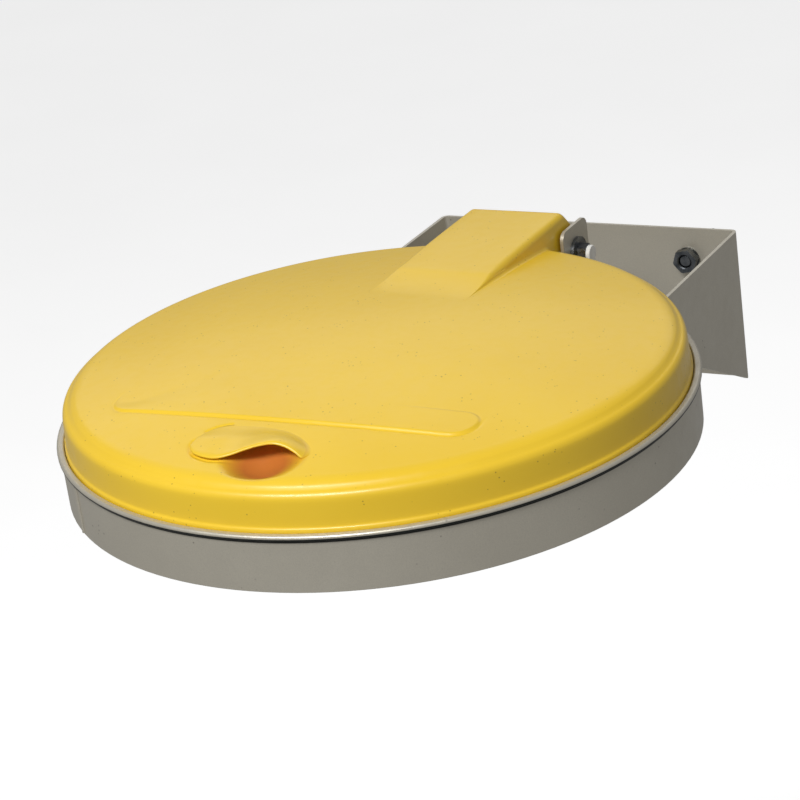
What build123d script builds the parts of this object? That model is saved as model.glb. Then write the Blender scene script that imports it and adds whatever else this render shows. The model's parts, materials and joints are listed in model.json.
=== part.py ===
"""Wall-mounted waste sack holder.

A folded steel bracket carries a roll-formed sack ring on the wall. A moulded lid hinges on a
cross bolt behind the ring, and a loose hoop drops into the ring to grip the mouth of the sack.

Frame: the origin is the centre of the bracket's back face, which lies on the wall.
+Z is up, +Y points into the wall and the front of the holder faces -Y. Millimetres.
"""

import os
from math import cos, radians, sin, sqrt

from build123d import *

os.makedirs("parts", exist_ok=True)

# ---------------------------------------------------------------- driving dimensions

steel = 2.5  # sheet of the wall bracket and the hinge bracket
strip = 2.0  # sheet of the sack ring and the hoop

ring_reach = 340.0  # wall to ring centre
rim_base = 61.0  # height of the rim's lower edge above the origin
rim_r = 215.0  # outer radius of the rolled rim
rim_height = 3.8
band_r = 213.0  # outer radius of the band under the rim
band_drop = 35.0  # rim's lower edge to the band's bottom edge
ledge_r = 193.5  # inner radius of the ledge that the lid and the hoop sit on

bracket_width = 247.0
bracket_height = 118.0
bend_r = 5.5  # outer radius of the bracket's folds

wall_pitch_x = 165.0
wall_pitch_z = 70.0
wall_hole_r = 5.5
stud_r = 5.0  # M10
stud_depth = 50.0  # how far a stud reaches into the wall
wall_nut_flats = 17.0
wall_nut_height = 6.5
wall_washer_r = 9.0
wall_washer_height = 1.6

hinge_reach = 108.0  # wall to hinge axis
hinge_rise = 16.5  # hinge axis above the rim's lower edge
hinge_bolt_r = 4.0  # M8
ear_gap = 80.4  # between the inner faces of the two hinge ears
ear_length = 41.0
ear_top = 38.0  # above the rim's lower edge
ear_foot = 33.0  # below the rim's lower edge
ear_corner_r = 7.0
hinge_washer_r = 12.0
hinge_washer_height = 2.5
hinge_nut_flats = 13.0
hinge_nut_height = 7.0
cap_r = 6.2
cap_height = 3.0

lid_r = 209.5  # outer radius of the lid's lip
lid_seat = 0.6  # lip above the rim's lower edge, clear of the ledge
lid_wall = 2.6
shoulder_r = 206.4
shoulder_top = 33.3
crown_top = 47.0  # top of the crown above the rim's lower edge
neck_half = 37.0  # half width of the neck between the hinge ears
neck_top = 49.0  # height of the neck above the rim's lower edge
neck_edge_r = 4.0
neck_wall = 3.0

hoop_r = 191.5  # outer radius of the hoop's wall
hoop_flange_r = 196.5
hoop_drop = 26.0  # hoop below the rim's lower edge

# ---------------------------------------------------------------- frames worked out from them

hinge_height = rim_base + hinge_rise
ring_axis = Axis((0, -ring_reach, 0), (0, 0, 1))


def ring_plane(height=0.0):
    """Horizontal plane centred on the ring, at a height above the rim's lower edge."""
    return Plane(origin=(0, -ring_reach, rim_base + height))


def section_plane():
    """Upright plane through the ring's axis: x is the radius, y is above the rim's lower edge."""
    return Plane(origin=(0, -ring_reach, rim_base), x_dir=(1, 0, 0), z_dir=(0, -1, 0))


def cross_plane(back):
    """Upright plane across the holder, at a distance behind the ring's centre."""
    return Plane(origin=(0, back - ring_reach, rim_base), x_dir=(1, 0, 0), z_dir=(0, -1, 0))


def side_plane(x=0.0):
    """Upright fore-and-aft plane: x is behind the ring's centre, y above the rim's lower edge."""
    return Plane(origin=(x, -ring_reach, rim_base), x_dir=(0, 1, 0), z_dir=(1, 0, 0))


def hinge_plane(x=0.0):
    """Plane square to the hinge axis, centred on it."""
    return Plane(origin=(x, -hinge_reach, hinge_height), x_dir=(0, 1, 0), z_dir=(1, 0, 0))


def wall_plane(y=0.0):
    """Plane parallel to the wall, its normal pointing out into the room."""
    return Plane(origin=(0, y, 0), x_dir=(1, 0, 0), z_dir=(0, -1, 0))


def finish(piece, name):
    """Label a finished piece and write it out."""
    piece.part.label = name
    export_step(piece.part, f"parts/{name}.step")


# ---------------------------------------------------------------- wall bracket

cheek_x = (bracket_width - steel) / 2
cheek_front = -ring_reach + sqrt(band_r**2 - cheek_x**2)
band_bottom = rim_base - band_drop

with BuildPart() as wall_bracket:
    with BuildSketch(Plane.XY.offset(-bracket_height / 2)):
        with BuildLine() as fold_line:
            FilletPolyline(
                (-cheek_x, cheek_front - 8),
                (-cheek_x, -steel / 2),
                (cheek_x, -steel / 2),
                (cheek_x, cheek_front - 8),
                radius=bend_r - steel / 2,
            )
        trace(fold_line.line, steel)
    extrude(amount=bracket_height)
    # the lower edge of each cheek rises from the wall plate to the foot of the band
    with BuildSketch(Plane.YZ):
        with BuildLine():
            Polyline(
                (-bend_r, -bracket_height / 2),
                (cheek_front, band_bottom),
                (cheek_front - 20, band_bottom),
                (cheek_front - 20, -bracket_height / 2 - 5),
                (-bend_r, -bracket_height / 2 - 5),
                close=True,
            )
        make_face()
    extrude(amount=bracket_width, both=True, mode=Mode.SUBTRACT)
    # the cheeks stop where they meet the band
    with BuildSketch(ring_plane(-bracket_height - 20)):
        Circle(band_r)
    extrude(amount=bracket_height + 60, mode=Mode.SUBTRACT)
    with BuildSketch(wall_plane()):
        with GridLocations(wall_pitch_x, wall_pitch_z, 2, 2):
            Circle(wall_hole_r)
    extrude(amount=steel * 2, both=True, mode=Mode.SUBTRACT)
finish(wall_bracket, "wall_bracket")

# ---------------------------------------------------------------- sack ring

ledge_top = 0.2
bead_inner_r = 209.9

with BuildPart() as ring_band:
    with BuildSketch(section_plane()):
        with BuildLine():
            FilletPolyline(
                (band_r - strip, -band_drop),
                (band_r, -band_drop),
                (band_r, 0),
                (rim_r, 0),
                (rim_r, rim_height),
                (bead_inner_r, rim_height),
                (bead_inner_r, ledge_top),
                (ledge_r, ledge_top),
                (ledge_r, ledge_top - strip),
                (band_r - strip, ledge_top - strip),
                radius=(0.6, 0.6, 0.5, 1.2, 1.9, 1.3, 0.4, 0.7, 0.7, 1.0),
                close=True,
            )
        make_face()
    revolve(axis=ring_axis)
finish(ring_band, "ring_band")

# the strip is rolled to a ring and welded along one upright seam on the left
seam_angle = 232.0
seam_half_width = 1.3
seam_x = band_r * cos(radians(seam_angle))
seam_y = band_r * sin(radians(seam_angle))

with BuildPart() as seam_weld:
    with BuildSketch(ring_plane(-band_drop + 1.5)):
        with Locations((seam_x, seam_y)):
            Circle(seam_half_width)
        Circle(band_r, mode=Mode.SUBTRACT)
    extrude(amount=band_drop - 3.0)
finish(seam_weld, "seam_weld")

# ---------------------------------------------------------------- bracket welds

weld_leg = 3.0
weld_top = -3.0
weld_foot = -band_drop + 2.0
outer_x = bracket_width / 2
inner_x = outer_x - steel


def weld_corner(x, side):
    """Three corners of a fillet weld between a cheek's face at x and the band."""
    face_y = sqrt(band_r**2 - x**2)
    along = x + side * weld_leg
    return [(x, face_y), (x, face_y + weld_leg), (along, sqrt(band_r**2 - along**2))]


with BuildPart() as bracket_welds:
    with BuildSketch(ring_plane(weld_foot)):
        for face_x, side in ((outer_x, 1), (inner_x, -1)):
            with BuildLine():
                Polyline(*weld_corner(face_x, side), close=True)
            make_face()
        mirror(about=Plane.YZ)
        Circle(band_r, mode=Mode.SUBTRACT)
    extrude(amount=weld_top - weld_foot)
finish(bracket_welds, "bracket_welds")

# ---------------------------------------------------------------- hinge bracket

ear_inner = ear_gap / 2
ear_outer = ear_inner + steel
hinge_back = ring_reach - hinge_reach  # hinge axis behind the ring's centre
ear_front = hinge_back - ear_length / 2
ear_rear = hinge_back + ear_length / 2
web_top = -1.5


def ear_outline():
    """Side view of a hinge ear; its foot runs forward under the rim to the band."""
    FilletPolyline(
        (ear_front - 6, -ear_foot),
        (ear_front + 10, -ear_foot),
        (ear_rear, -4),
        (ear_rear, ear_top),
        (ear_front, ear_top),
        (ear_front, web_top),
        (ear_front - 6, web_top),
        radius=(0.5, 6, 8, ear_corner_r, ear_corner_r, 1, 0.5),
        close=True,
    )


with BuildPart() as hinge_bracket:
    # curved web, seated on the back of the band
    with BuildSketch(ring_plane(-ear_foot)):
        Circle(band_r + steel)
        with Locations((0, band_r)):
            Rectangle(2 * ear_outer, 60, mode=Mode.INTERSECT)
        Circle(band_r, mode=Mode.SUBTRACT)
    extrude(amount=ear_foot + web_top)
    # the two ears
    for inner_face in (ear_inner, -ear_outer):
        with BuildSketch(side_plane(inner_face)):
            with BuildLine():
                ear_outline()
            make_face()
        extrude(amount=steel)
    with BuildSketch(ring_plane(-ear_foot - 5)):
        Circle(band_r)
    extrude(amount=ear_foot + 5 + web_top, mode=Mode.SUBTRACT)
    with BuildSketch(hinge_plane()):
        Circle(hinge_bolt_r + 0.2)
    extrude(amount=ear_outer + 5, both=True, mode=Mode.SUBTRACT)
finish(hinge_bracket, "hinge_bracket")

# short fillet welds where the ears meet the band
with BuildPart() as hinge_welds:
    with BuildSketch(ring_plane(-ear_foot + 2)):
        with BuildLine():
            Polyline(*weld_corner(ear_outer, 1), close=True)
        make_face()
        mirror(about=Plane.YZ)
        Circle(band_r, mode=Mode.SUBTRACT)
    extrude(amount=ear_foot + web_top - 3)
finish(hinge_welds, "hinge_welds")

# ---------------------------------------------------------------- wall fixings

washer_face = -steel - wall_washer_height
nut_face = washer_face - wall_nut_height
stud_recess = 1.6

clip_length = 16.0
clip_inner_r = 3.6
clip_outer_r = stud_r + 0.3  # stands proud, so that it grips the hole
cone_length = 8.0

# wedge anchors: a threaded stud, waisted near its buried end to carry an expansion clip
with BuildPart() as one_stud:
    with BuildSketch(Plane.XY):
        with BuildLine():
            Polyline(
                (0, stud_depth),
                (stud_r - 1, stud_depth),
                (stud_r, stud_depth - 1),
                (stud_r, stud_depth - 4),
                (clip_inner_r, stud_depth - cone_length),
                (clip_inner_r, stud_depth - cone_length - clip_length),
                (stud_r, stud_depth - cone_length - clip_length),
                (stud_r, nut_face + stud_recess + 1),
                (stud_r - 1, nut_face + stud_recess),
                (0, nut_face + stud_recess),
                close=True,
            )
        make_face()
    revolve(axis=Axis.Y)

stud_places = [
    (side_x * wall_pitch_x / 2, 0, side_z * wall_pitch_z / 2) for side_x in (-1, 1) for side_z in (-1, 1)
]

with BuildPart() as wall_studs:
    with Locations(*stud_places):
        add(one_stud.part)
finish(wall_studs, "wall_studs")

with BuildPart() as anchor_clips:
    with BuildSketch(wall_plane(stud_depth - cone_length)):
        with GridLocations(wall_pitch_x, wall_pitch_z, 2, 2):
            Circle(clip_outer_r)
            Circle(clip_inner_r, mode=Mode.SUBTRACT)
            # the clip is rolled from strip and stays open along one side
            with Locations((0, stud_r)):
                Rectangle(1.2, 4, mode=Mode.SUBTRACT)
    extrude(amount=clip_length)
finish(anchor_clips, "anchor_clips")

with BuildPart() as wall_washers:
    with BuildSketch(wall_plane(-steel)):
        with GridLocations(wall_pitch_x, wall_pitch_z, 2, 2):
            Circle(wall_washer_r)
            Circle(stud_r + 0.25, mode=Mode.SUBTRACT)
    extrude(amount=wall_washer_height)
finish(wall_washers, "wall_washers")


def hex_corner(flats):
    """Corner radius of a hexagon given across its flats."""
    return flats / 2 / cos(radians(30))


with BuildPart() as wall_nuts:
    with BuildSketch(wall_plane(washer_face)):
        with GridLocations(wall_pitch_x, wall_pitch_z, 2, 2):
            RegularPolygon(hex_corner(wall_nut_flats), 6, rotation=12)
    extrude(amount=wall_nut_height)
    # the turned cone that takes the corners off the outer face
    with BuildSketch(wall_plane(washer_face)):
        with GridLocations(wall_pitch_x, wall_pitch_z, 2, 2):
            Circle(hex_corner(wall_nut_flats) + 3)
    extrude(amount=wall_nut_height, taper=28, mode=Mode.INTERSECT)
    with BuildSketch(wall_plane(washer_face)):
        with GridLocations(wall_pitch_x, wall_pitch_z, 2, 2):
            Circle(stud_r + 0.05)
    extrude(amount=wall_nut_height, mode=Mode.SUBTRACT)
    front_rims = wall_nuts.edges().filter_by(GeomType.CIRCLE).group_by(Axis.Y)[0]
    chamfer(front_rims.sort_by(SortBy.RADIUS)[:4], 0.8)
finish(wall_nuts, "wall_nuts")

# ---------------------------------------------------------------- hinge bolt and its fittings

head_height = 5.3
washer_outer = ear_outer + hinge_washer_height
nut_outer = washer_outer + hinge_nut_height

with BuildPart() as hinge_bolt:
    with BuildSketch(hinge_plane(-washer_outer - head_height)):
        RegularPolygon(hex_corner(hinge_nut_flats), 6)
    extrude(amount=head_height)
    with BuildSketch(hinge_plane(-washer_outer)):
        Circle(hinge_bolt_r)
    extrude(amount=washer_outer + nut_outer)
    chamfer(hinge_bolt.edges().group_by(Axis.X)[-1], 0.8)
finish(hinge_bolt, "hinge_bolt")

with BuildPart() as hinge_washers:
    for face_x in (ear_outer, -washer_outer):
        with BuildSketch(hinge_plane(face_x)):
            Circle(hinge_washer_r)
            Circle(hinge_bolt_r + 0.2, mode=Mode.SUBTRACT)
        extrude(amount=hinge_washer_height)
finish(hinge_washers, "hinge_washers")

with BuildPart() as hinge_nut:
    with BuildSketch(hinge_plane(washer_outer)):
        RegularPolygon(hex_corner(hinge_nut_flats), 6, rotation=15)
        Circle(hinge_bolt_r + 0.05, mode=Mode.SUBTRACT)
    extrude(amount=hinge_nut_height)
finish(hinge_nut, "hinge_nut")

# white plug over the end of the bolt, seated on the nut
with BuildPart() as bolt_cap:
    with BuildSketch(hinge_plane(nut_outer)):
        Circle(cap_r)
    extrude(amount=cap_height)
    fillet(bolt_cap.edges().group_by(Axis.X)[-1], 1.0)
finish(bolt_cap, "bolt_cap")

# ---------------------------------------------------------------- lid

lip_height = 3.6
skirt_top = 24.5
shoulder_step = 5.5  # the shoulder turns in twice, with a narrow step between the two turns
crown_edge_r = shoulder_r - 2 * shoulder_step
neck_edge = 227.5  # rear edge of the neck's flat top, behind the ring's centre
neck_tail = 243.0  # the neck's hindmost face
neck_foot = 5.0  # underside of the neck, clear of the rim
neck_root = 205.0  # the neck reaches down to its foot behind this
neck_dip = 110.0  # where the neck's flat top starts to sink into the crown
neck_tip = 66.0
neck_sink = 6.0  # how far the top has sunk at the tip
sleeve_r = 7.0
rib_spread = 12.0
rib_width = 2.4


def crown_height(x, y):
    """Height of the crown at a place measured from the ring's centre."""
    return crown_top - (crown_top - shoulder_top) * (x**2 + y**2) / crown_edge_r**2


def crown_profile(inset=0.0):
    """Closed half section of the lid's crown and skirt, drawn from the ring's axis outwards."""
    top = crown_top - inset
    edge_top = shoulder_top - inset
    Line((0, lid_seat), (lid_r - inset, lid_seat))
    Line((lid_r - inset, lid_seat), (lid_r - inset, lip_height))
    Line((lid_r - inset, lip_height), (lid_r - 1 - inset, lip_height + 1.5))
    Line((lid_r - 1 - inset, lip_height + 1.5), (shoulder_r + 1 - inset, skirt_top - inset))
    step_r = shoulder_r - shoulder_step - inset
    RadiusArc((shoulder_r + 1 - inset, skirt_top - inset), (step_r, edge_top - 3), -8)
    RadiusArc((step_r, edge_top - 3), (crown_edge_r - inset, edge_top), -18)
    Bezier((crown_edge_r - inset, edge_top), (crown_edge_r / 2, top), (0, top))
    Line((0, top), (0, lid_seat))


def neck_side(inset=0.0):
    """Side view of the neck, from its tip inside the crown to the sloping tail round the hinge."""
    foot = neck_foot if inset == 0 else neck_foot - 10
    top = neck_top - inset
    FilletPolyline(
        (neck_tip, skirt_top),
        (neck_root, skirt_top),
        (neck_root, foot),
        (neck_tail + 2 - inset, foot),
        (neck_tail - inset, hinge_rise + 17),
        (neck_edge - inset * 0.4, top),
        (neck_dip, top),
        (neck_tip, top - neck_sink),
        radius=(0.3, 0.3, 0.3, 0.5, 9, 6, 60, 0.3),
        close=True,
    )


# finger bowl in front of the grip
bowl_x = 20.0
bowl_y = -178.0
bowl_ball_r = 40.0
bowl_depth = 6.0
bowl_centre = crown_height(bowl_x, bowl_y) - bowl_depth + bowl_ball_r

# The long field across the front of the crown is a copy of the crown, tilted so that its front
# edge stands proud and its back sinks out of sight.
field_rise = 1.4
field_front = -131.0
field_back = -58.0
field_slope = field_rise / (field_back - field_front)
field_axis = Axis((0, -ring_reach, rim_base + field_back * field_slope), (0, field_slope, 1))
field_plane = Plane(origin=field_axis.position, x_dir=(1, 0, 0), z_dir=(0, -1, field_slope))

with BuildPart() as lid_field:
    with BuildSketch(field_plane):
        with BuildLine():
            crown_profile()
        make_face()
    revolve(axis=field_axis)
    with BuildSketch(ring_plane()):
        with BuildLine():
            ThreePointArc((-118, field_front + 2), (0, field_front), (120, field_front + 10))
            ThreePointArc((120, field_front + 10), (131, -107), (113, -92))
            ThreePointArc((113, -92), (0, field_back), (-112, -96))
            ThreePointArc((-112, -96), (-127, -115), (-118, field_front + 2))
        make_face()
    extrude(amount=crown_top + 20, mode=Mode.INTERSECT)

# hollow inside the lid, used as a cutting tool
with BuildPart() as lid_hollow:
    with BuildSketch(section_plane()):
        with BuildLine():
            crown_profile(inset=lid_wall)
        make_face()
    revolve(axis=ring_axis)
    with BuildSketch(ring_plane(lid_seat - 5)):
        Circle(lid_r - lid_wall)
    extrude(amount=5)
    # keep the boss that backs the finger bowl
    with Locations((bowl_x, -ring_reach + bowl_y, rim_base + bowl_centre)):
        Sphere(bowl_ball_r + lid_wall, mode=Mode.SUBTRACT)

# hollow inside the neck; behind the skirt it is open underneath
with BuildPart() as neck_hollow:
    with BuildSketch(side_plane()):
        with BuildLine():
            neck_side(inset=neck_wall)
        make_face()
    extrude(amount=neck_half - neck_wall, both=True)
    with BuildSketch(ring_plane(neck_foot - 20)):
        Circle(lid_r)
    extrude(amount=15 + skirt_top - 4, mode=Mode.SUBTRACT)

with BuildPart() as neck_body:
    with BuildSketch(side_plane()):
        with BuildLine():
            neck_side()
        make_face()
    extrude(amount=neck_half, both=True)
    fillet(neck_body.edges().filter_by(GeomType.LINE, reverse=True).group_by(Axis.Z)[-1], neck_edge_r)

with BuildPart() as lid_shell:
    with BuildSketch(section_plane()):
        with BuildLine():
            crown_profile()
        make_face()
    revolve(axis=ring_axis)
    add(neck_body.part)
    add(lid_field.part)
    add(lid_hollow.part, mode=Mode.SUBTRACT)
    add(neck_hollow.part, mode=Mode.SUBTRACT)
    # two ribs inside the neck hold the hinge sleeve
    for rib_x in (-rib_spread - rib_width, rib_spread):
        with BuildSketch(side_plane(rib_x)):
            with BuildLine():
                Polyline(
                    (hinge_back - 13, neck_foot + 1),
                    (neck_tail, neck_foot + 1),
                    (neck_tail - 1, hinge_rise + 16),
                    (neck_edge - 1, neck_top - 1),
                    (hinge_back - 13, neck_top - 1),
                    close=True,
                )
            make_face()
        extrude(amount=rib_width)
    with Locations((bowl_x, -ring_reach + bowl_y, rim_base + bowl_centre)):
        Sphere(bowl_ball_r, mode=Mode.SUBTRACT)
    with BuildSketch(hinge_plane()):
        Circle(sleeve_r)
    extrude(amount=neck_half + 5, both=True, mode=Mode.SUBTRACT)
finish(lid_shell, "lid_shell")

# hood over the finger bowl, with a low lobe running out to its left
grip_x = 22.0
grip_back = (-178.0, -168.0, -157.0, -148.0)  # sections behind the ring's centre, mouth first
grip_width = (25.0, 26.0, 21.0, 11.0)  # half widths
grip_rise = (9.5, 10.5, 9.0, 6.5)  # heights over grip_base
grip_base = 34.0
grip_wall = 2.6
lobe_x = -16.0
lobe_y = -165.0
lobe_rise = 4.0
lobe_ball_r = 40.0

# everything below the crown's surface, used as a cutting tool
with BuildPart() as crown_body:
    with BuildSketch(section_plane()):
        with BuildLine():
            crown_profile()
        make_face()
    revolve(axis=ring_axis)
    with BuildSketch(ring_plane(lid_seat - lobe_ball_r)):
        Circle(lid_r)
    extrude(amount=lobe_ball_r + lip_height)

with BuildPart() as grip_hollow:
    for back, half, rise in zip(grip_back, grip_width, grip_rise):
        mouth_gap = 3.0 if back == grip_back[0] else 0.0
        with BuildSketch(cross_plane(back - mouth_gap)):
            with Locations((grip_x, grip_base)):
                Ellipse(half - grip_wall, rise - grip_wall)
    loft()

with BuildPart() as lid_grip:
    for back, half, rise in zip(grip_back, grip_width, grip_rise):
        with BuildSketch(cross_plane(back)):
            with Locations((grip_x, grip_base)):
                Ellipse(half, rise)
    loft()
    lobe_centre = crown_height(lobe_x, lobe_y) + lobe_rise - lobe_ball_r
    with Locations((lobe_x, -ring_reach + lobe_y, rim_base + lobe_centre)):
        Sphere(lobe_ball_r)
    add(grip_hollow.part, mode=Mode.SUBTRACT)
    add(crown_body.part, mode=Mode.SUBTRACT)
finish(lid_grip, "lid_grip")

# ---------------------------------------------------------------- hinge sleeve and bushes

bush_inner_r = 4.06
bush_flange_r = 9.0
bush_flange = 2.6
bush_length = 13.0
sleeve_bore_r = 5.4

with BuildPart() as hinge_sleeve:
    with BuildSketch(hinge_plane(-neck_half)):
        Circle(sleeve_r)
        Circle(sleeve_bore_r, mode=Mode.SUBTRACT)
    extrude(amount=2 * neck_half)
finish(hinge_sleeve, "hinge_sleeve")

with BuildPart() as hinge_bushes:
    with BuildSketch(hinge_plane(neck_half)):
        Circle(bush_flange_r)
    extrude(amount=bush_flange)
    with BuildSketch(hinge_plane(neck_half - bush_length)):
        Circle(sleeve_bore_r)
    extrude(amount=bush_length)
    mirror(about=Plane.YZ)
    with BuildSketch(hinge_plane()):
        Circle(bush_inner_r)
    extrude(amount=neck_half + bush_flange, both=True, mode=Mode.SUBTRACT)
finish(hinge_bushes, "hinge_bushes")

# ---------------------------------------------------------------- drop-in hoop

flange_gap = 0.3
flange_bottom = ledge_top + flange_gap
flange_top = flange_bottom + 1.8
grip_strip_r = 193.1
grip_strip_foot = -6.0

with BuildPart() as sack_hoop:
    with BuildSketch(section_plane()):
        with BuildLine():
            FilletPolyline(
                (hoop_r - strip, -hoop_drop),
                (hoop_r, -hoop_drop),
                (hoop_r, flange_bottom),
                (hoop_flange_r, flange_bottom),
                (hoop_flange_r, flange_top),
                (hoop_r - strip, flange_top),
                radius=(0.8, 0.8, 0.3, 0.8, 0.8, 1.6),
                close=True,
            )
        make_face()
    revolve(axis=ring_axis)
finish(sack_hoop, "sack_hoop")

# rubber strip round the hoop, which presses the sack against the ledge
with BuildPart() as grip_strip:
    with BuildSketch(ring_plane(grip_strip_foot)):
        Circle(grip_strip_r)
        Circle(hoop_r, mode=Mode.SUBTRACT)
    extrude(amount=flange_bottom - 0.3 - grip_strip_foot)
finish(grip_strip, "grip_strip")
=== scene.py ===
"""Looks of the wall-mounted waste sack holder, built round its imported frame.

Everything is in metres in the frame's own axes: +Z up, +Y into the wall, the front faces -Y.
The lid's shapes are worked out in plan coordinates x, y from the ring's centre and a height h
above the rim's lower edge, and lid_spot() puts them in the frame.
"""
import json
import math

import bmesh
import bpy
import numpy as np
from mathutils import Matrix, Vector


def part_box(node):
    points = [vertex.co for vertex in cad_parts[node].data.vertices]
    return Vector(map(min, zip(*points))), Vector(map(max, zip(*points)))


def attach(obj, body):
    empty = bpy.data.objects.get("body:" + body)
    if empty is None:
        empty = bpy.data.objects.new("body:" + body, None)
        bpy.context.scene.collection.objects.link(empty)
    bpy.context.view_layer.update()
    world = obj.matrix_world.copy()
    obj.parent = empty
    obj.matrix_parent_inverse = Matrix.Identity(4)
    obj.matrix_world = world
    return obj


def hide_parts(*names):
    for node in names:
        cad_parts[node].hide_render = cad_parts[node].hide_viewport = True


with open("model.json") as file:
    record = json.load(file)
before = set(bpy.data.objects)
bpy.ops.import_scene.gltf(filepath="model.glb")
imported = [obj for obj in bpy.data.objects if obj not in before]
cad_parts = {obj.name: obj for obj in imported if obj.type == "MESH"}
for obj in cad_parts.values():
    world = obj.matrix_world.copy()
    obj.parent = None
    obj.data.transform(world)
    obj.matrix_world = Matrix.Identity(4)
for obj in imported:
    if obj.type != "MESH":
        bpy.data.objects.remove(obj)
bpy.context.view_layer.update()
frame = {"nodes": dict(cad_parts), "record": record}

# ---------------------------------------------------------------- sizes

ring_low, ring_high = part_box("ring_band")
sleeve_low, sleeve_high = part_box("hinge_sleeve")
rim_height = 0.0038  # of the ring's rolled rim, which ends level with the ring's top
ring_centre = (ring_low + ring_high) / 2
rim_base = ring_high.z - rim_height
hinge_back = (sleeve_low.y + sleeve_high.y) / 2 - ring_centre.y

crown_top = 0.0470
crown_fall = 0.359  # the crown sinks by this times the radius squared
crown_edge = 0.1900
crown_middle = 0.090  # the mesh is coarser inside this
lid_wall = 0.0026
skirt_inside = 0.2050
skirt_top = 0.025  # the finger bowl sinks only what lies above this
lip_edge = 0.2095  # just outside the lip
lip_height = 0.004

# the raised field at the front: its front edge is front + slant * x + curve * x**2
field_front = -0.131
field_slant = 0.0328
field_curve = 0.421
field_rise = 0.0013
field_half = 0.1245
field_middle = 0.0065
field_left_gain = 0.0085  # it reaches this much further on its left than on its right
field_depth = 0.030
field_corner = 0.0145
field_step = 0.0013  # width of the slope at its edge
field_fade = 0.075  # it runs out over this distance behind its front edge,
field_fade_loss = 0.062  # and over this much less at its left,
field_left_loss = 0.3  # where it is lower by this share of its height
field_left_start, field_left_full = 0.045, 0.120
bar_start, bar_full = 0.060, 0.112  # between these it turns into the bar at its right,
bar_loss = 0.35  # which is lower by this share at its back edge
crease_width = 0.0008  # of the fine line pressed in along its front edge
crease_depth = 0.00035
crease_fade = 0.012  # distance behind the front edge at which the line starts to run out

bowl_x, bowl_y = 0.0180, -0.1755
bowl_half_x, bowl_half_y = 0.0285, 0.0260
bowl_depth = 0.0088
bowl_limit = 0.2035  # radius by which the bowl has run out on the shoulder

# the painted orange shade in the hollow under the grip, standing in for its shadow and the yellow
# light bounced in it; only points this near to the outer skin have it
shade_x, shade_y = 0.0180, -0.1720
shade_half_x, shade_half_y = 0.0300, 0.0260
shade_reach = 0.0012

grip_thickness = 0.0022
grip_roll = 0.0007  # the free edge rolls under by this
grip_seat = 0.0002  # the back edge lies this much under the crown's skin
# shares of the way from the back edge to the free edge
grip_seat_end = 0.1
grip_swell_full = 0.55
grip_roll_start = 0.94

# box round the left lobe of the grip, and the groove that runs round the lobe inside it
lobe_left, lobe_right = -0.045, 0.004
lobe_front, lobe_back = -0.192, -0.136
lobe_groove_depth = 0.0011
lobe_groove_width = 0.0015
lobe_groove_full, lobe_groove_end = -0.012, 0.002  # the groove runs out between these, along x

neck_half = 0.0378
neck_top = 0.0490
neck_tip = 0.0600
neck_rise = 0.0670  # here the neck's top comes up through the crown
neck_dip = 0.110  # in front of this the neck's top sinks into the crown
neck_crest = 0.190  # behind this the neck's top is level
neck_fall = 0.22  # in front of the crest the top falls by this times the distance squared
neck_bend = 0.222  # behind this the neck's top turns down to the tail
neck_tail = 0.2425  # by here the hollow's back is a wall's thickness in front of the skin
neck_foot = 0.0050
neck_wall = 0.0030
neck_round = 0.0048
neck_fillet = 0.0030
neck_round_share = 0.7  # the rounding and the fillet are at most these shares of the height
neck_fillet_share = 0.6
neck_least = 0.00002  # least radius of either
neck_room = 0.0004  # least height of the hollow above the foot
neck_sink = 0.0003  # near the tip the sides' feet are this much lower
neck_sink_full, neck_sink_end = 0.062, 0.070
neck_bow_full, neck_bow_end = 0.070, 0.140  # here the top changes from the crown's bow to flat
neck_flare = 0.010  # how far the foot spreads over the crown
neck_flare_full, neck_flare_end = 0.196, 0.207
neck_flare_least = 0.0002
neck_lap = 0.00006  # the foot's outer edge lies this much under the crown's skin

# the crown is open under the neck, behind this and above this
opening_front = 0.085
opening_low = 0.022

rib_inner, rib_outer = 0.0120, 0.0144
rib_reach = 0.013  # how far the ribs reach in front of the hinge
rib_gap = 0.001
rib_back = 0.2395
rib_shoulder = 0.0330
rib_bend = 0.2270
rib_top = 0.0470

# the painted shadow under the ring's rolled rim, a dark line: where it starts and where it is full, at
# its lower edge and its upper edge in height, and at its inner edge in radius
rim_shadow_bottom = (-0.0018, -0.0012)
rim_shadow_top = (0.0020, 0.0015)
rim_shadow_inside = (0.2112, 0.2118)


def lid_spot(x, y, h):
    """A point of the lid's plan and height, in the frame."""
    return (ring_centre.x + x, ring_centre.y + y, rim_base + h)


def smooth(value, low, high):
    """0 below low, 1 above high, and an S curve between them."""
    t = np.clip((np.asarray(value, float) - low) / (high - low), 0, 1)
    return t * t * (3 - 2 * t)


def curve_through(points, steps):
    """Points along the smooth curve that passes through all the given points."""
    points = [np.asarray(p, float) for p in points]
    ends = [2 * points[0] - points[1]] + points + [2 * points[-1] - points[-2]]
    out = []
    for before, start, stop, after in zip(ends, ends[1:], ends[2:], ends[3:]):
        pull = stop - before
        bend = 2 * before - 5 * start + 4 * stop - after
        twist = 3 * start - before - 3 * stop + after
        for t in np.linspace(0, 1, steps, endpoint=False):
            out.append(0.5 * (2 * start + pull * t + bend * t**2 + twist * t**3))
    out.append(points[-1])
    return np.array(out)


def paint_hollow_shade(mesh):
    """Gives each point its share of the painted orange shade, which lies on the crown's skin in the
    hollow.
    """
    x, y, h = (np.array([v.co for v in mesh.vertices]) - np.array(lid_spot(0, 0, 0))).T
    skin = crown_height(x, y) - bowl_drop(x, y)
    reach = np.hypot((x - shade_x) / shade_half_x, (y - shade_y) / shade_half_y)
    share = np.clip(1 - reach**2, 0, 1) * (np.abs(h - skin) < shade_reach)
    mesh.attributes.new("hollow", "FLOAT", "POINT").data.foreach_set("value", share)


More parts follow.
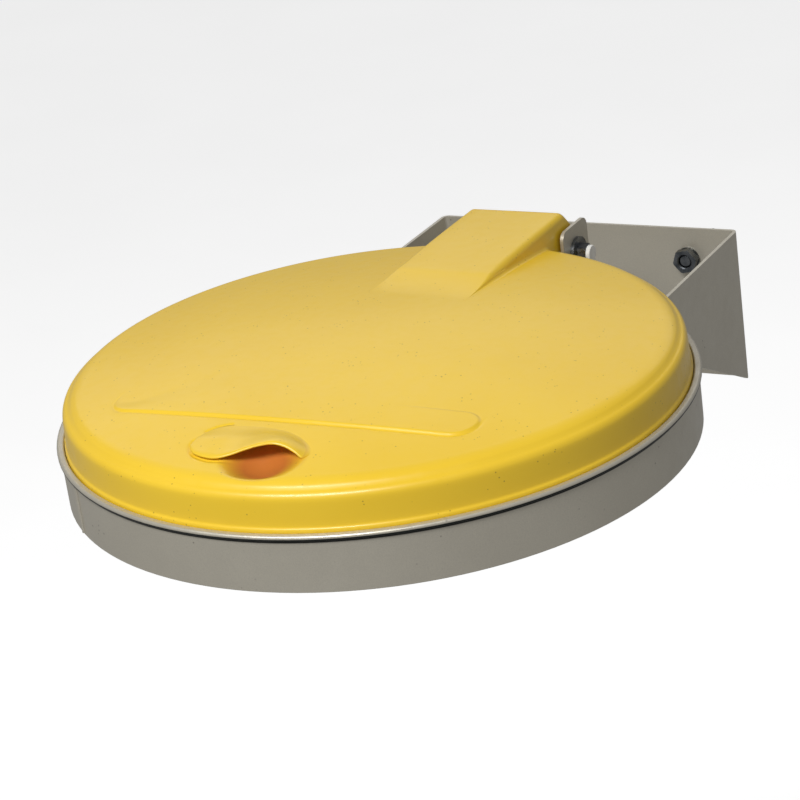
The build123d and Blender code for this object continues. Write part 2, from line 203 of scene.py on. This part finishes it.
def new_piece(name, points, faces, body, slot, *nodes):
    """A smooth-shaded mesh piece that rides on a body and stands for CAD nodes."""
    mesh = bpy.data.meshes.new(name)
    mesh.from_pydata([tuple(p) for p in points], [], faces)
    work = bmesh.new()
    work.from_mesh(mesh)
    bmesh.ops.remove_doubles(work, verts=work.verts, dist=1e-6)
    bmesh.ops.dissolve_degenerate(work, edges=work.edges, dist=1e-7)
    bmesh.ops.recalc_face_normals(work, faces=work.faces)
    work.to_mesh(mesh)
    work.free()
    mesh.shade_smooth()
    paint_hollow_shade(mesh)
    piece = bpy.data.objects.new(name, mesh)
    bpy.context.scene.collection.objects.link(piece)
    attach(piece, body)
    if nodes:
        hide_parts(*nodes)
    return piece


# ---------------------------------------------------------------- lid surface

# stations from the grip's left end to its right: the back edge, the free edge, how far the free
# edge lifts off the crown, and how far the skin swells between the two
grip_stations = [
    (-0.0372, -0.1570, -0.0375, -0.1620, 0.0000, 0.0002),
    (-0.0350, -0.1500, -0.0360, -0.1695, 0.0000, 0.0016),
    (-0.0300, -0.1440, -0.0300, -0.1765, 0.0000, 0.0021),
    (-0.0230, -0.1400, -0.0205, -0.1805, 0.0002, 0.0023),
    (-0.0140, -0.1380, -0.0110, -0.1812, 0.0003, 0.0024),
    (-0.0040, -0.1375, -0.0020, -0.1785, 0.0012, 0.0027),
    (0.0060, -0.1380, 0.0070, -0.1745, 0.0031, 0.0029),
    (0.0150, -0.1395, 0.0160, -0.1712, 0.0050, 0.0029),
    (0.0230, -0.1420, 0.0245, -0.1692, 0.0062, 0.0026),
    (0.0310, -0.1460, 0.0325, -0.1684, 0.0052, 0.0020),
    (0.0380, -0.1510, 0.0390, -0.1688, 0.0032, 0.0012),
    (0.0430, -0.1560, 0.0435, -0.1690, 0.0009, 0.0005),
    (0.0460, -0.1625, 0.0460, -0.1650, 0.0000, 0.0000),
]


def crown_height(x, y):
    """Height of the crown's even dome."""
    return crown_top - crown_fall * (x**2 + y**2)


def field_height(x, y):
    """The long field that stands proud across the front.

    It fades out towards the back, except at its right, where it is a bar with a back edge."""
    depth = y - (field_front + field_slant * x + field_curve * x**2)
    side = np.abs(x - field_middle) - field_left_gain * (x < field_middle)
    beyond = np.maximum(side - (field_half - field_corner), 0)
    near_front = np.maximum(field_corner - depth, 0)
    near_back = np.maximum(depth - (field_depth - field_corner), 0)
    open_edge = field_corner - np.hypot(beyond, near_front)
    bar_edge = field_corner - np.hypot(beyond, np.maximum(near_front, near_back))
    leftward = smooth(-x, field_left_start, field_left_full)
    bar_share = smooth(x - field_middle, bar_start, bar_full)
    fade = 1 - smooth(depth, 0.0, field_fade - field_fade_loss * leftward)
    open_rise = smooth(open_edge, 0, field_step) * fade * (1 - field_left_loss * leftward)
    bar_rise = smooth(bar_edge, 0, field_step) * (1 - bar_loss * smooth(depth, 0, field_depth))
    raised = (1 - bar_share) * open_rise + bar_share * bar_rise
    crease = np.exp(-(((open_edge + crease_width) / crease_width) ** 2))
    crease = crease * (1 - smooth(depth, crease_fade, field_depth))
    return field_rise * raised - crease_depth * crease


def bowl_drop(x, y):
    """How far the finger bowl sinks below the crown."""
    reach = np.hypot((x - bowl_x) / bowl_half_x, (y - bowl_y) / bowl_half_y)
    return bowl_depth * np.clip(1 - reach**2, 0, 1) ** 2


def lobe_groove(x, y):
    """Depth of the groove in the crown round the left end of the finger grip."""
    free_edge = curve_through([station[2:4] for station in grip_stations[5::-1]], 6)
    back_edge = curve_through([station[0:2] for station in grip_stations[1:4]], 6)
    outline = np.vstack([free_edge, back_edge])
    near = (x < lobe_right) & (x > lobe_left) & (y < lobe_back) & (y > lobe_front)
    depth = np.zeros_like(x)
    if near.any():
        gaps = np.hypot(x[near][:, None] - outline[:, 0], y[near][:, None] - outline[:, 1])
        ease = 1 - smooth(x[near], lobe_groove_full, lobe_groove_end)
        depth[near] = lobe_groove_depth * np.exp(-((gaps.min(axis=1) / lobe_groove_width) ** 2)) * ease
    return depth


def crown_detail(x, y):
    """Everything that the crown carries besides its even dome."""
    fade = 1 - smooth(np.hypot(x, y), crown_edge, bowl_limit)
    return field_height(x, y) - bowl_drop(x, y) * fade - lobe_groove(x, y)


# half section of the lid outside the crown, over the lip and back in under the shoulder
edge_section = [
    (0.1900, 0.03404),
    (0.1942, 0.03345),
    (0.1978, 0.03245),
    (0.2004, 0.03105),
    (0.2020, 0.02955),
    (0.2034, 0.02840),
    (0.2052, 0.02740),
    (0.2066, 0.02570),
    (0.2074, 0.02300),
    (0.2078, 0.01600),
    (0.2081, 0.00820),
    (0.2084, 0.00640),
    (0.2091, 0.00530),
    (0.2094, 0.00400),
    (0.2094, 0.00150),
    (0.2090, 0.00075),
    (0.2080, 0.00060),
    (0.2068, 0.00100),
    (0.2064, 0.00300),
    (0.2051, 0.02000),
    (0.2034, 0.02470),
    (0.1985, 0.02930),
    (0.1900, 0.03130),
]
edge_steps = 4
shoulder_spans = 8  # so many spans of the section run over the shoulder
edge_curve = curve_through(edge_section, edge_steps)


def lid_top(x, y):
    """Height of the lid's outer surface, which falls away steeply past the shoulder."""
    radius = np.hypot(x, y)
    shoulder = edge_curve[: shoulder_spans * edge_steps + 1]
    steep = np.interp(radius, np.append(shoulder[:, 0], lip_edge), np.append(shoulder[:, 1], lip_height))
    return np.where(radius < crown_edge, crown_height(x, y), steep)


def crown_mesh():
    """Crown, skirt and lip as one closed skin, open only where the neck stands on it."""
    around = 1080
    coarse = np.linspace(0.0, crown_middle, 31)[1:]
    fine = np.linspace(crown_middle, crown_edge, 135)[1:]
    underside = np.linspace(crown_edge, 0.0, 60)[1:-1]
    angles = np.arange(around) * 2 * math.pi / around
    points = [(0.0, 0.0, float(crown_height(0, 0)))]
    rings = []

    def circle(radius):
        return radius * np.cos(angles), radius * np.sin(angles)

    def add_ring(x, y, height):
        rings.append(range(len(points), len(points) + around))
        points.extend(zip(x, y, np.broadcast_to(height, x.shape)))

    for radius in np.concatenate([coarse, fine]):
        x, y = circle(radius)
        add_ring(x, y, crown_height(x, y) + crown_detail(x, y))
    for radius, height in edge_curve[1:]:
        x, y = circle(radius)
        sunk = bowl_drop(x, y) * (1 - smooth(radius, crown_edge, bowl_limit))
        add_ring(x, y, height - sunk * (height > skirt_top))
    for radius in underside:
        x, y = circle(radius)
        add_ring(x, y, crown_height(x, y) - lid_wall - bowl_drop(x, y))
    inner_centre = len(points)
    points.append((0.0, 0.0, crown_top - lid_wall))

    faces = [(0, rings[0][i], rings[0][(i + 1) % around]) for i in range(around)]
    for inner, outer in zip(rings, rings[1:]):
        for i in range(around):
            j = (i + 1) % around
            faces.append((inner[i], outer[i], outer[j], inner[j]))
    last = rings[-1]
    faces += [(last[i], inner_centre, last[(i + 1) % around]) for i in range(around)]

    # square the opening's edge up with the neck's walls
    places = np.array(points)
    seat = neck_half - neck_wall / 2
    snap = 0.0006
    near = (np.abs(np.abs(places[:, 0]) - seat) < snap) & (places[:, 1] > opening_front)
    places[near, 0] = np.sign(places[near, 0]) * seat

    def opened(face):
        """True for a face that the neck stands over, which is left out."""
        x, y, h = places[list(face)].mean(axis=0)
        return abs(x) < seat and y > opening_front and h > opening_low

    return places, [face for face in faces if not opened(face)]


def neck_height(y):
    """Height of the neck's top along its middle: nearly level, then easing into the crown."""
    level = neck_top - neck_fall * max(neck_crest - y, 0.0) ** 2
    if y >= neck_dip:
        return level
    dip_level = neck_top - neck_fall * (neck_crest - neck_dip) ** 2
    lift = dip_level - crown_height(0, neck_dip)
    share = (y - neck_rise) / (neck_dip - neck_rise)
    return crown_height(0, y) + lift * share * abs(share)


def neck_side():
    """Stations along the neck: distance behind the centre and height of the top."""
    front = [(y, neck_height(y)) for y in np.linspace(neck_tip, neck_bend, 66)]
    back = curve_through(
        [
            (neck_bend, neck_top),
            (0.2255, 0.0488),
            (0.2285, 0.0470),
            (0.2345, 0.0412),
            (0.2398, 0.0356),
            (0.2420, 0.0315),
            (0.2425, 0.0260),
            (0.2427, 0.0150),
            (0.2428, 0.0075),
        ],
        4,
    )
    return front + [tuple(p) for p in back[1:]]


def neck_section(y, top, half, base, flare, rounding):
    """One cross section from its left foot over the top to its right foot.

    base(x) is the surface that the neck stands on and flare is how far its foot spreads on it."""
    arc = np.linspace(0, math.pi / 2, 9)
    bow = crown_fall * (1 - float(smooth(y, neck_bow_full, neck_bow_end)))
    sink = neck_sink * (1 - float(smooth(y, neck_sink_full, neck_sink_end)))

    def seat(x):
        return max(float(base(x)), neck_foot)

    stand = top - bow * half**2 - seat(half)
    fillet = min(neck_fillet, max(stand * neck_fillet_share, neck_least))
    rounding = min(rounding, max(stand * neck_round_share, neck_least))
    right = []
    for share in (0.0, 0.25, 0.5, 0.75):
        x = share * (half - rounding)
        right.append((x, y, top - bow * x**2))
    for a in arc:
        x = half - rounding * (1 - math.sin(a))
        right.append((x, y, top - bow * x**2 - rounding * (1 - math.cos(a))))
    for a in arc:
        x = half + min(fillet * (1 - math.cos(a)), flare)
        right.append((x, y, seat(x) + fillet * (1 - math.sin(a)) - sink))
    for share in (0.3, 0.65, 1.0):
        x = half + min(fillet, flare) + share * max(flare - fillet, 0)
        right.append((x, y, seat(x) - neck_lap * share - sink))
    left = [(-x, y, h) for x, y, h in reversed(right[1:])]
    return left + right


def neck_mesh():
    """The neck as a closed skin, open underneath, whose front fades into the crown."""
    inner_half = neck_half - neck_wall
    inner_round = neck_round - neck_wall
    points = []
    faces = []
    loops = []
    for y, top in neck_side():
        spread = 1 - float(smooth(y, neck_flare_full, neck_flare_end))
        flare = neck_flare * spread + neck_flare_least

        def outer_base(x):
            return float(lid_top(x, y)) if y < lip_edge else neck_foot

        def inner_base(x):
            return outer_base(x) - lid_wall if y < skirt_inside else neck_foot

        inner_y = y - neck_wall * float(smooth(y, neck_bend, neck_tail))
        inner_top = max(top - neck_wall, neck_foot + neck_room)
        outer = neck_section(y, top, neck_half, outer_base, flare, neck_round)
        inner = neck_section(inner_y, inner_top, inner_half, inner_base, flare, inner_round)
        loop = outer + inner[::-1]
        loops.append(range(len(points), len(points) + len(loop)))
        points.extend(loop)
    count = len(loops[0])
    for before, after in zip(loops, loops[1:]):
        for i in range(count):
            j = (i + 1) % count
            faces.append((before[i], after[i], after[j], before[j]))
    for loop in (loops[0], loops[-1]):
        for i in range(count // 2 - 1):
            faces.append((loop[i], loop[i + 1], loop[count - 2 - i], loop[count - 1 - i]))
    return np.array(points), faces


def rib_mesh(x0, x1):
    """One of the two upright ribs that hold the hinge sleeve inside the neck."""
    front = hinge_back - rib_reach
    low = neck_foot + rib_gap
    outline = [(front, low), (rib_back, low), (rib_back, rib_shoulder)]
    outline += [(rib_bend, rib_top), (front, rib_top)]
    count = len(outline)
    points = [(x, y, h) for x in (x0, x1) for y, h in outline]
    faces = [tuple(range(count)), tuple(range(count, 2 * count))]
    faces += [(i, (i + 1) % count, count + (i + 1) % count, count + i) for i in range(count)]
    return np.array(points), faces


def make_lid():
    """The lid moulding: crown, skirt, lip, neck and ribs in one piece."""
    points = []
    faces = []
    ribs = [rib_mesh(-rib_outer, -rib_inner), rib_mesh(rib_inner, rib_outer)]
    for part_points, part_faces in [crown_mesh(), neck_mesh(), *ribs]:
        start = len(points)
        points.extend(lid_spot(*p) for p in part_points)
        faces.extend(tuple(start + i for i in face) for face in part_faces)
    return new_piece("lid_moulding", points, faces, "lid", "lid_plastic", "lid_shell", "lid_grip")


# ---------------------------------------------------------------- finger grip


def make_grip():
    """Tongue that lies on the crown as a lobe at its left and lifts into a hood at its right."""
    stations = curve_through(grip_stations, 8)
    across = np.linspace(0, 1, 25)
    rows = len(stations)
    columns = len(across)
    points = []
    for side in ("top", "under"):
        for back_x, back_y, free_x, free_y, lift, swell in stations:
            for t in across:
                x = back_x + (free_x - back_x) * t
                y = back_y + (free_y - back_y) * t
                # the back runs smoothly out of the crown and the free edge rolls under a little
                h = crown_height(x, y) + lift * math.sin(t * math.pi / 2) ** 2
                h += swell * float(smooth(t, 0.0, grip_swell_full))
                rim = grip_roll * float(smooth(t, grip_roll_start, 1.0))
                rim += grip_seat * (1 - float(smooth(t, 0.0, grip_seat_end)))
                if side == "under":
                    h -= grip_thickness
                    rim = -rim
                points.append(lid_spot(x, y, h - rim))
    faces = []

    def at(row, column, under):
        return row * columns + column + (rows * columns if under else 0)

    def add_side(first, second):
        """A face of the thin side between two neighbours on top and the two under them."""
        faces.append((at(*first, False), at(*second, False), at(*second, True), at(*first, True)))

    for row in range(rows - 1):
        for column in range(columns - 1):
            for under in (False, True):
                corners = [at(row, column, under), at(row + 1, column, under)]
                corners += [at(row + 1, column + 1, under), at(row, column + 1, under)]
                faces.append(tuple(corners))
        for column in (0, columns - 1):
            add_side((row, column), (row + 1, column))
    for column in range(columns - 1):
        for row in (0, rows - 1):
            add_side((row, column), (row, column + 1))
    return new_piece("lid_grip_tongue", points, faces, "lid", "lid_plastic")


# ---------------------------------------------------------------- materials


class Nodes:
    """Short way to write a material's node tree."""

    def __init__(self, name):
        self.material = bpy.data.materials.new(name)
        self.material.use_nodes = True
        self.tree = self.material.node_tree
        self.shader = self.tree.nodes["Principled BSDF"]
        self.place = self.add("ShaderNodeTexCoord").outputs["Object"]

    def add(self, kind, **values):
        node = self.tree.nodes.new(kind)
        for key, value in values.items():
            setattr(node, key, value)
        return node

    def link(self, out, into):
        self.tree.links.new(out, into)

    def noise(self, scale, detail):
        """Soft cloudy noise."""
        node = self.add("ShaderNodeTexNoise")
        node.inputs["Scale"].default_value = scale
        node.inputs["Detail"].default_value = detail
        self.link(self.place, node.inputs["Vector"])
        return node.outputs["Fac"]

    def cells(self, scale):
        """Distance to the nearest of many scattered points."""
        node = self.add("ShaderNodeTexVoronoi")
        node.inputs["Scale"].default_value = scale
        self.link(self.place, node.inputs["Vector"])
        return node.outputs["Distance"]

    def ramp(self, value, low, high, start=0.0, stop=1.0):
        """Runs from start, where the value is low, to stop, where it is high."""
        node = self.add("ShaderNodeMapRange")
        node.inputs["From Min"].default_value = low
        node.inputs["From Max"].default_value = high
        node.inputs["To Min"].default_value = start
        node.inputs["To Max"].default_value = stop
        self.link(value, node.inputs["Value"])
        return node.outputs["Result"]

    def multiply(self, a, b):
        node = self.add("ShaderNodeMath", operation="MULTIPLY")
        self.link(a, node.inputs[0])
        self.link(b, node.inputs[1])
        return node.outputs[0]

    def mix(self, share, first, second):
        """Changes from the first colour to the second as the share rises."""
        node = self.add("ShaderNodeMix", data_type="RGBA")
        self.link(share, node.inputs["Factor"])
        for socket, colour in ((node.inputs["A"], first), (node.inputs["B"], second)):
            if isinstance(colour, tuple):
                socket.default_value = (*colour, 1.0)
            else:
                self.link(colour, socket)
        return node.outputs["Result"]

    def bump(self, height, distance, strength, under=None):
        """Surface relief, on top of another one if that is given."""
        node = self.add("ShaderNodeBump")
        node.inputs["Strength"].default_value = strength
        node.inputs["Distance"].default_value = distance
        self.link(height, node.inputs["Height"])
        if under is not None:
            self.link(under, node.inputs["Normal"])
        return node.outputs["Normal"]

    def painted_rim_shadow(self):
        """1 on the painted shadow, a dark line round the ring under its rolled rim, and 0 elsewhere."""
        place = self.add("ShaderNodeNewGeometry").outputs["Position"]
        offset = self.add("ShaderNodeVectorMath", operation="SUBTRACT")
        offset.inputs[1].default_value = lid_spot(0, 0, 0)
        self.link(place, offset.inputs[0])
        parts = self.add("ShaderNodeSeparateXYZ")
        self.link(offset.outputs[0], parts.inputs[0])
        flat = self.add("ShaderNodeVectorMath", operation="MULTIPLY")
        flat.inputs[1].default_value = (1, 1, 0)
        self.link(offset.outputs[0], flat.inputs[0])
        reach = self.add("ShaderNodeVectorMath", operation="LENGTH")
        self.link(flat.outputs[0], reach.inputs[0])
        above = self.ramp(parts.outputs["Z"], *rim_shadow_bottom)
        below = self.ramp(parts.outputs["Z"], *rim_shadow_top)
        outside = self.ramp(reach.outputs["Value"], *rim_shadow_inside)
        return self.multiply(self.multiply(above, below), outside)

    def feed(self, colour, roughness, normal):
        """Links the three things that every material varies over its surface."""
        self.link(colour, self.shader.inputs["Base Color"])
        self.link(roughness, self.shader.inputs["Roughness"])
        self.link(normal, self.shader.inputs["Normal"])

    def set(self, **values):
        for key, value in values.items():
            self.shader.inputs[key.replace("_", " ")].default_value = value


def lid_plastic():
    """Glossy yellow plastic with a few brown specks, and orange shade painted into the hollow under the
    grip.
    """
    yellow = (0.800, 0.525, 0.022)
    light_yellow = (0.825, 0.550, 0.028)
    speck_brown = (0.30, 0.19, 0.02)
    painted_hollow_shade = (0.52, 0.165, 0.030)
    m = Nodes("lid_plastic")
    specks = m.multiply(
        m.ramp(m.cells(260.0), 0.16, 0.10),
        m.ramp(m.noise(70.0, 1.0), 0.54, 0.62),
    )
    tone = m.mix(m.ramp(m.noise(9.0, 3.0), 0.35, 0.65), yellow, light_yellow)
    speckled = m.mix(m.ramp(specks, 0.0, 1.0, 0.0, 0.7), tone, speck_brown)
    hollow = m.add("ShaderNodeAttribute", attribute_name="hollow").outputs["Fac"]
    # painted shade: the hollow under the grip turns orange-brown, standing in for its shadow and the
    # yellow light bounced in it
    shaded = m.mix(m.ramp(hollow, 0.0, 0.80), speckled, painted_hollow_shade)
    roughness = m.ramp(m.noise(140.0, 3.0), 0.3, 0.7, 0.30, 0.40)
    waves = m.bump(m.noise(45.0, 2.0), 0.0002, 0.25)
    m.feed(shaded, roughness, m.bump(m.noise(900.0, 2.0), 0.00005, 0.35, waves))
    m.set(IOR=1.50, Coat_Weight=0.15, Coat_Roughness=0.14)
    return m.material


def painted_steel(name, rim_shadow=False):
    """Satin grey-beige paint with fine grain and a few dark flecks, and if asked a painted shadow under
    the ring's rolled rim.
    """
    beige = (0.540, 0.505, 0.420)
    light_beige = (0.580, 0.545, 0.455)
    grain_grey = (0.40, 0.375, 0.325)
    fleck_brown = (0.16, 0.14, 0.12)
    rim_shadow_black = (0.010, 0.012, 0.011)
    m = Nodes(name)
    tone = m.mix(m.ramp(m.noise(14.0, 4.0), 0.3, 0.7), beige, light_beige)
    grained = m.mix(m.ramp(m.noise(1300.0, 2.0), 0.35, 0.75, 0.0, 0.35), tone, grain_grey)
    flecks = m.multiply(
        m.ramp(m.cells(170.0), 0.13, 0.09),
        m.ramp(m.noise(45.0, 1.0), 0.60, 0.66),
    )
    colour = m.mix(m.ramp(flecks, 0.0, 1.0, 0.0, 0.6), grained, fleck_brown)
    if rim_shadow:
        # painted shadow: a near-black line round the ring under its rolled rim
        colour = m.mix(m.painted_rim_shadow(), colour, rim_shadow_black)
    roughness = m.ramp(m.noise(90.0, 3.0), 0.3, 0.7, 0.34, 0.46)
    m.feed(colour, roughness, m.bump(m.noise(1100.0, 2.0), 0.00006, 0.5))
    m.set(IOR=1.5, Metallic=0.55)
    return m.material


def zinc_steel():
    """Dull zinc-plated steel."""
    m = Nodes("zinc_steel")
    tone = m.mix(m.ramp(m.noise(120.0, 4.0), 0.35, 0.7), (0.10, 0.11, 0.12), (0.24, 0.25, 0.26))
    roughness = m.ramp(m.noise(400.0, 3.0), 0.3, 0.7, 0.22, 0.42)
    m.feed(tone, roughness, m.bump(m.noise(1500.0, 2.0), 0.00004, 0.5))
    m.set(Metallic=1.0)
    return m.material


def nylon():
    """Off-white nylon."""
    m = Nodes("nylon")
    tone = m.mix(m.ramp(m.noise(300.0, 3.0), 0.3, 0.7), (0.74, 0.73, 0.69), (0.83, 0.82, 0.78))
    roughness = m.ramp(m.noise(500.0, 2.0), 0.3, 0.7, 0.40, 0.55)
    m.feed(tone, roughness, m.bump(m.noise(900.0, 2.0), 0.00004, 0.4))
    return m.material


def rubber():
    """Matte black rubber."""
    m = Nodes("rubber")
    tone = m.mix(m.ramp(m.noise(200.0, 4.0), 0.3, 0.7), (0.016, 0.016, 0.017), (0.035, 0.035, 0.036))
    roughness = m.ramp(m.noise(350.0, 3.0), 0.3, 0.7, 0.65, 0.85)
    m.feed(tone, roughness, m.bump(m.noise(1200.0, 3.0), 0.00008, 0.6))
    return m.material


def dress(piece, material):
    """Gives a piece one material in place of any that it has."""
    piece.data.materials.clear()
    piece.data.materials.append(material)


# ---------------------------------------------------------------- stage


def make_floor():
    """Pale floor that stands in for the photo's plain background."""
    m = Nodes("pale_floor")
    tone = m.mix(m.ramp(m.noise(3.0, 3.0), 0.3, 0.7), (0.90, 0.90, 0.90), (0.93, 0.93, 0.93))
    m.link(tone, m.shader.inputs["Base Color"])
    m.set(Roughness=0.9, Emission_Color=(1.0, 1.0, 1.0, 1.0), Emission_Strength=0.55)
    work = bmesh.new()
    bmesh.ops.create_grid(work, x_segments=8, y_segments=8, size=14.0)
    mesh = bpy.data.meshes.new("floor")
    work.to_mesh(mesh)
    work.free()
    floor = bpy.data.objects.new("floor", mesh)
    floor.location = (0, 3.0, -1.1)
    bpy.context.scene.collection.objects.link(floor)
    mesh.materials.append(m.material)
    # the floor shows behind the object but throws no light back up at it
    floor.visible_diffuse = False
    floor.visible_glossy = False


def softbox(name, place, target, size, power):
    """Rectangular lamp that faces the target."""
    data = bpy.data.lights.new(name, "AREA")
    data.shape = "RECTANGLE"
    data.size, data.size_y = size
    data.energy = power
    lamp = bpy.data.objects.new(name, data)
    lamp.location = place
    lamp.rotation_euler = (Vector(target) - Vector(place)).to_track_quat("-Z", "Y").to_euler()
    bpy.context.scene.collection.objects.link(lamp)


def make_camera():
    """Seen from the front right, a little from above, and leaning as the picture leans."""
    # its place, angles and lens were solved from the ring's and the lid's ellipses in the photo
    azimuth, elevation, roll = (math.radians(a) for a in (30.946, 22.662, -7.989))
    across = Vector((math.cos(azimuth), math.sin(azimuth), 0))
    level = math.cos(elevation)
    towards = Vector((math.sin(azimuth) * level, -math.cos(azimuth) * level, math.sin(elevation)))
    upward = towards.cross(across)
    turned = Matrix((across, upward, towards)).transposed().to_4x4()
    data = bpy.data.cameras.new("camera")
    data.sensor_width = 36.0
    data.lens = 120.90
    data.shift_x = 0.0022
    camera = bpy.data.objects.new("camera", data)
    spot = Matrix.Translation((0.8595, -1.7483, 0.7453))
    camera.matrix_world = spot @ turned @ Matrix.Rotation(roll, 4, "Z")
    bpy.context.scene.collection.objects.link(camera)
    bpy.context.scene.camera = camera


def make_world():
    """Even dim white light from all round."""
    world = bpy.data.worlds.new("studio")
    world.use_nodes = True
    background = world.node_tree.nodes["Background"]
    background.inputs["Color"].default_value = (1.0, 1.0, 1.0, 1.0)
    background.inputs["Strength"].default_value = 0.30
    bpy.context.scene.world = world


make_camera()
make_world()
make_floor()
centre = tuple(ring_centre)
softbox("key", (0.0, -1.9, 1.9), centre, (1.2, 0.7), 52)
softbox("back", (-1.2, 2.2, 1.6), centre, (3.4, 1.2), 9)
bpy.context.scene.view_settings.view_transform = "Standard"

lid = make_lid()
grip = make_grip()
materials = {
    "lid_plastic": lid_plastic(),
    "painted_steel": painted_steel("painted_steel"),
    "zinc_steel": zinc_steel(),
    "nylon": nylon(),
    "rubber": rubber(),
}
for subpart in frame["record"]["subparts"]:
    dress(frame["nodes"][subpart["node"]], materials[subpart["material_slot"]])
# the ring's paint carries a painted shadow under its rolled rim
dress(frame["nodes"]["ring_band"], painted_steel("painted_ring_rim_shadow", rim_shadow=True))
dress(lid, materials["lid_plastic"])
dress(grip, materials["lid_plastic"])
